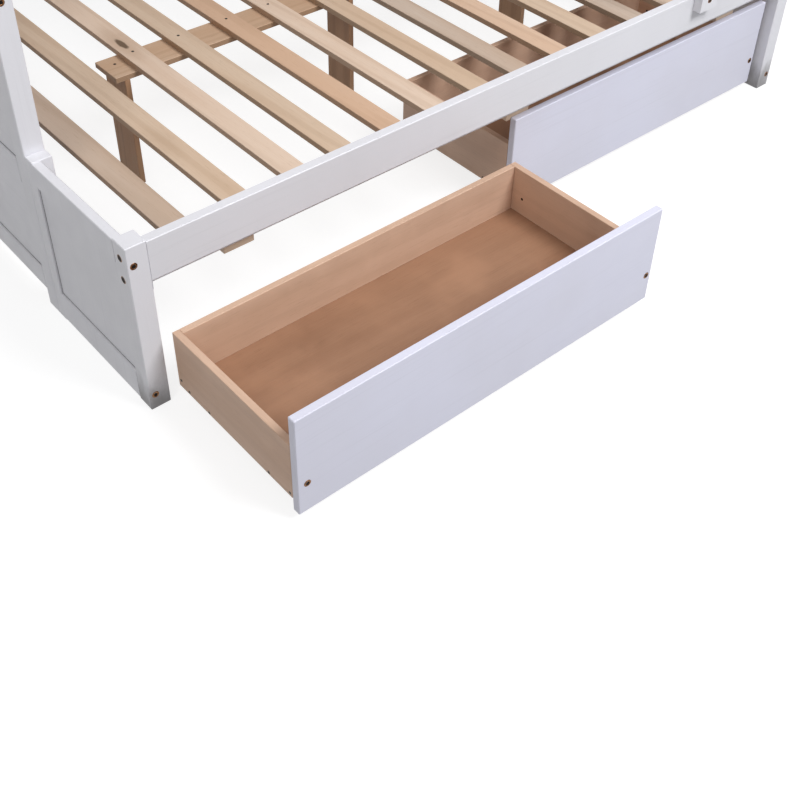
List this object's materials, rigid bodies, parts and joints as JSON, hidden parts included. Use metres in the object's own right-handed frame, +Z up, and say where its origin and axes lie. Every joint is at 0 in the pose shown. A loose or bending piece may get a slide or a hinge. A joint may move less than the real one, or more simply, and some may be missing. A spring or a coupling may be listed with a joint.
{
  "type": "bunk bed",
  "caption": "White painted twin-over-full bunk bed with bare wood slats, a front ladder, guard rails and roll-out drawers under the lower bunk, one of them pulled open.",
  "frame": {"origin": "on the floor, at the middle of the bounding box of the bed with its left drawer open as modelled", "axes": "+X along the side rails towards the ladder end, -Y towards the drawers and ladder side, +Z up"},
  "size_m": [2, 1.861, 1.62],
  "materials": {
    "painted_wood": "satin white paint",
    "bare_wood": "planed, unvarnished",
    "drawer_wood": "clear lacquered board",
    "black_plastic": "moulded"
  },
  "bodies": {
    "frame": {"corner_post_left": "painted_wood", "corner_post_right": "painted_wood", "tall_post_front_left": "painted_wood", "tall_post_front_right": "painted_wood", "tall_post_back_left": "painted_wood", "tall_post_back_right": "painted_wood", "extension_panel_left": "painted_wood", "extension_panel_right": "painted_wood", "lower_end_panel_left": "painted_wood", "lower_end_panel_right": "painted_wood", "upper_end_panel_left": "painted_wood", "upper_end_panel_right": "painted_wood", "lower_rail_front": "painted_wood", "lower_rail_back": "painted_wood", "lower_slat_1": "bare_wood", "lower_slat_2": "bare_wood", "lower_slat_3": "bare_wood", "lower_slat_4": "bare_wood", "lower_slat_5": "bare_wood", "lower_slat_6": "bare_wood", "lower_slat_7": "bare_wood", "lower_slat_8": "bare_wood", "lower_slat_9": "bare_wood", "lower_slat_10": "bare_wood", "lower_slat_11": "bare_wood", "lower_slat_12": "bare_wood", "lower_slat_13": "bare_wood", "centre_beam": "bare_wood", "centre_leg_1": "bare_wood", "centre_leg_2": "bare_wood", "centre_leg_3": "bare_wood", "drawer_stop_1": "bare_wood", "drawer_stop_2": "bare_wood", "drawer_stop_3": "bare_wood", "upper_rail_front": "painted_wood", "upper_rail_back": "painted_wood", "upper_slat_deck": "bare_wood", "guard_rail_front": "painted_wood", "guard_rail_back": "painted_wood", "ladder_stile_left": "painted_wood", "ladder_stile_right": "painted_wood", "ladder_rung_1": "painted_wood", "ladder_rung_2": "painted_wood", "ladder_rung_3": "painted_wood", "ladder_rung_4": "painted_wood"},
    "drawer_left": {"drawer_left_front": "painted_wood", "drawer_left_wall_left": "drawer_wood", "drawer_left_wall_right": "drawer_wood", "drawer_left_back": "drawer_wood", "drawer_left_floor": "drawer_wood"},
    "drawer_right": {"drawer_right_front": "painted_wood", "drawer_right_wall_left": "drawer_wood", "drawer_right_wall_right": "drawer_wood", "drawer_right_back": "drawer_wood", "drawer_right_floor": "drawer_wood"},
    "wheels_left_front": {"drawer_left_wheels_front": "black_plastic"},
    "wheels_left_back": {"drawer_left_wheels_back": "black_plastic"},
    "wheels_right_front": {"drawer_right_wheels_front": "black_plastic"},
    "wheels_right_back": {"drawer_right_wheels_back": "black_plastic"}
  },
  "joints": [
    {"name": "drawer_left_slide", "type": "slide", "parent": "frame", "child": "drawer_left", "axis": [0, -1, 0], "range_m": [-0.431, 0.15]},
    {"name": "drawer_right_slide", "type": "slide", "parent": "frame", "child": "drawer_right", "axis": [0, -1, 0], "range_m": [0, 0.58]},
    {"name": "wheels_left_front_roll", "type": "hinge", "parent": "drawer_left", "child": "wheels_left_front", "pos_m": [-0.4885, -0.8422, 0.022], "axis": [1, 0, 0], "range_deg": [-1130, 400]},
    {"name": "wheels_left_back_roll", "type": "hinge", "parent": "drawer_left", "child": "wheels_left_back", "pos_m": [-0.4885, -0.6122, 0.022], "axis": [1, 0, 0], "range_deg": [-1130, 400]},
    {"name": "wheels_right_front_roll", "type": "hinge", "parent": "drawer_right", "child": "wheels_right_front", "pos_m": [0.4545, -0.4112, 0.022], "axis": [1, 0, 0], "range_deg": [-5, 1520]},
    {"name": "wheels_right_back_roll", "type": "hinge", "parent": "drawer_right", "child": "wheels_right_back", "pos_m": [0.4545, -0.1812, 0.022], "axis": [1, 0, 0], "range_deg": [-5, 1520]}
  ],
  "couplings": [
    {"joint": "wheels_left_front_roll", "follows": "drawer_left_slide", "rad_per_m": 45.455},
    {"joint": "wheels_left_back_roll", "follows": "drawer_left_slide", "rad_per_m": 45.455},
    {"joint": "wheels_right_front_roll", "follows": "drawer_right_slide", "rad_per_m": 45.455},
    {"joint": "wheels_right_back_roll", "follows": "drawer_right_slide", "rad_per_m": 45.455}
  ]
}
